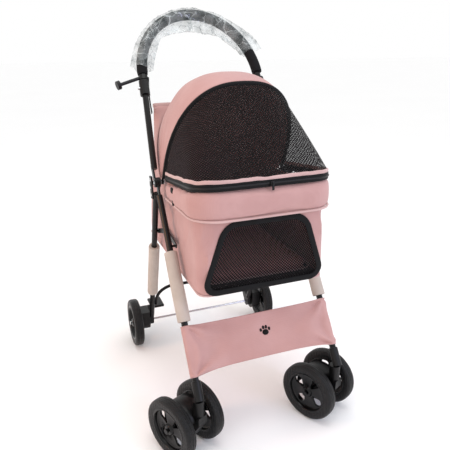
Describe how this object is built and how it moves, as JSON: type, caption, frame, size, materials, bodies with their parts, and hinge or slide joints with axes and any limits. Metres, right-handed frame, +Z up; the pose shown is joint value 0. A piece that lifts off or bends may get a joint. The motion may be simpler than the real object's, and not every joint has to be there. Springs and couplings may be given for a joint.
{
  "type": "pet stroller",
  "caption": "Folding pet stroller with a zipped mesh hood, a padded fabric cabin, an arched push handle, swivelling twin casters and single rear wheels.",
  "frame": {"origin": "on the ground, under the middle of the overall outline", "axes": "+Z up, the front of the stroller towards -Y, +X to the right as seen looking from the front towards the back"},
  "size_m": [0.5294, 0.6656, 1.0284],
  "materials": {
    "black_powder_coat": "satin black powder coat on steel tube",
    "black_plastic": "moulded black plastic",
    "chrome_steel": "polished",
    "pink_oxford": "woven pink oxford polyester",
    "pink_lining": "brushed lining",
    "black_mesh": "black knitted mesh",
    "black_webbing": "black webbing and binding tape",
    "white_foam": "closed cell foam sleeve",
    "black_grip_foam": "black grip foam",
    "clear_film": "crumpled clear plastic film",
    "black_wheel": "moulded black wheel with a pebbled tread"
  },
  "bodies": {
    "chassis": {"front_leg_left": "black_powder_coat", "front_leg_right": "black_powder_coat", "hinge_rivet_left": "chrome_steel", "hinge_rivet_right": "chrome_steel", "front_foam_left": "white_foam", "front_foam_right": "white_foam", "front_panel": "pink_oxford", "caster_socket_left": "black_plastic", "caster_socket_right": "black_plastic", "cabin_shell": "pink_oxford", "front_window": "black_mesh", "window_binding": "black_webbing", "floor_board": "black_plastic", "cushion": "pink_lining", "rear_panel": "pink_oxford", "rim_roll": "pink_oxford", "rim_tape": "black_webbing"},
    "rear_frame": {"rear_leg_left": "black_powder_coat", "rear_leg_right": "black_powder_coat", "rear_foam_left": "white_foam", "rear_foam_right": "white_foam", "crossbar": "black_powder_coat", "rear_axle": "chrome_steel", "rear_bracket_left": "black_plastic", "rear_bracket_right": "black_plastic", "rear_housing_left": "black_plastic", "rear_housing_right": "black_plastic"},
    "handle": {"handle_post_left": "black_powder_coat", "handle_post_right": "black_powder_coat", "handle_collar_left": "black_plastic", "handle_collar_right": "black_plastic", "handle_arch": "black_powder_coat", "handle_grip": "black_grip_foam", "grip_film": "clear_film", "accessory_arm": "black_plastic", "strap_left": "black_webbing", "strap_right": "black_webbing"},
    "hood": {"hood_bow": "black_powder_coat", "hood_dome": "pink_oxford", "hood_mesh": "black_mesh"},
    "zip_pull": {"zip_slider": "chrome_steel"},
    "caster_left": {"caster_fork_left": "black_plastic"},
    "front_wheel_left_a": {"front_wheel_left_a": "black_wheel"},
    "front_wheel_left_b": {"front_wheel_left_b": "black_wheel"},
    "rear_wheel_left": {"rear_wheel_left": "black_wheel"},
    "brake_pedal_left": {"brake_pedal_left": "black_plastic"},
    "brace_front_left": {"brace_front_left": "black_powder_coat"},
    "brace_rear_left": {"brace_rear_left": "black_powder_coat"},
    "handle_button_left": {"handle_button_left": "chrome_steel"},
    "caster_right": {"caster_fork_right": "black_plastic"},
    "front_wheel_right_a": {"front_wheel_right_a": "black_wheel"},
    "front_wheel_right_b": {"front_wheel_right_b": "black_wheel"},
    "rear_wheel_right": {"rear_wheel_right": "black_wheel"},
    "brake_pedal_right": {"brake_pedal_right": "black_plastic"},
    "brace_front_right": {"brace_front_right": "black_powder_coat"},
    "brace_rear_right": {"brace_rear_right": "black_powder_coat"},
    "handle_button_right": {"handle_button_right": "chrome_steel"}
  },
  "joints": [
    {"name": "rear_fold", "type": "hinge", "parent": "chassis", "child": "rear_frame", "pos_m": [0.01955, 0.01468, 0.595], "axis": [-1, 0, 0], "range_deg": [0, 32]},
    {"name": "handle_fold", "type": "hinge", "parent": "chassis", "child": "handle", "pos_m": [0.01955, 0.01468, 0.595], "axis": [1, 0, 0], "range_deg": [0, 104], "deforming": ["strap_left", "strap_right"]},
    {"name": "hood_fold", "type": "hinge", "parent": "chassis", "child": "hood", "pos_m": [0.01955, 0.01468, 0.595], "axis": [-1, 0, 0], "range_deg": [0, 50], "deforming": ["hood_dome", "hood_mesh"]},
    {"name": "zip_slide", "type": "slide", "parent": "chassis", "child": "zip_pull", "axis": [1, 0, 0], "range_m": [-0.07, 0.07]},
    {"name": "caster_swivel_left", "type": "hinge", "parent": "chassis", "child": "caster_left", "pos_m": [-0.16345, -0.28454, 0.112], "axis": [0, 0, 1], "continuous": true},
    {"name": "front_roll_left_a", "type": "hinge", "parent": "caster_left", "child": "front_wheel_left_a", "pos_m": [-0.22415, -0.26319, 0.075], "axis": [0.9026, 0.4305, 0], "continuous": true},
    {"name": "front_roll_left_b", "type": "hinge", "parent": "caster_left", "child": "front_wheel_left_b", "pos_m": [-0.14184, -0.22393, 0.075], "axis": [0.9026, 0.4305, 0], "continuous": true},
    {"name": "rear_roll_left", "type": "hinge", "parent": "rear_frame", "child": "rear_wheel_left", "pos_m": [-0.20495, 0.24883, 0.075], "axis": [1, 0, 0], "continuous": true},
    {"name": "brake_press_left", "type": "hinge", "parent": "rear_frame", "child": "brake_pedal_left", "pos_m": [-0.15345, 0.27483, 0.105], "axis": [-1, 0, 0], "range_deg": [0, 25]},
    {"name": "brace_front_turn_left", "type": "hinge", "parent": "chassis", "child": "brace_front_left", "pos_m": [-0.14695, -0.08356, 0.45626], "axis": [1, 0, 0], "range_deg": [0, 33.47]},
    {"name": "brace_rear_turn_left", "type": "hinge", "parent": "rear_frame", "child": "brace_rear_left", "pos_m": [-0.15045, 0.08437, 0.43994], "axis": [-1, 0, 0], "range_deg": [0, 33.47]},
    {"name": "button_press_left", "type": "slide", "parent": "handle", "child": "handle_button_left", "axis": [1, 0, 0], "range_m": [0, 0.0028], "stiffness_N_per_m": 300, "springref_m": -0.002},
    {"name": "caster_swivel_right", "type": "hinge", "parent": "chassis", "child": "caster_right", "pos_m": [0.20255, -0.28454, 0.112], "axis": [0, 0, 1], "continuous": true},
    {"name": "front_roll_right_a", "type": "hinge", "parent": "caster_right", "child": "front_wheel_right_a", "pos_m": [0.14185, -0.26319, 0.075], "axis": [0.9026, 0.4305, 0], "continuous": true},
    {"name": "front_roll_right_b", "type": "hinge", "parent": "caster_right", "child": "front_wheel_right_b", "pos_m": [0.22416, -0.22393, 0.075], "axis": [0.9026, 0.4305, 0], "continuous": true},
    {"name": "rear_roll_right", "type": "hinge", "parent": "rear_frame", "child": "rear_wheel_right", "pos_m": [0.24405, 0.24883, 0.075], "axis": [1, 0, 0], "continuous": true},
    {"name": "brake_press_right", "type": "hinge", "parent": "rear_frame", "child": "brake_pedal_right", "pos_m": [0.19255, 0.27483, 0.105], "axis": [-1, 0, 0], "range_deg": [0, 25]},
    {"name": "brace_front_turn_right", "type": "hinge", "parent": "chassis", "child": "brace_front_right", "pos_m": [0.18605, -0.08356, 0.45626], "axis": [1, 0, 0], "range_deg": [0, 33.47]},
    {"name": "brace_rear_turn_right", "type": "hinge", "parent": "rear_frame", "child": "brace_rear_right", "pos_m": [0.18955, 0.08437, 0.43994], "axis": [-1, 0, 0], "range_deg": [0, 33.47]},
    {"name": "button_press_right", "type": "slide", "parent": "handle", "child": "handle_button_right", "axis": [-1, 0, 0], "range_m": [0, 0.0028], "stiffness_N_per_m": 300, "springref_m": -0.002}
  ],
  "couplings": [
    {"joint": "brace_front_turn_left", "follows": "rear_fold", "ratio": 1.0428},
    {"joint": "brace_rear_turn_left", "follows": "rear_fold", "ratio": 1.0428},
    {"joint": "brace_front_turn_right", "follows": "rear_fold", "ratio": 1.0428},
    {"joint": "brace_rear_turn_right", "follows": "rear_fold", "ratio": 1.0428}
  ]
}
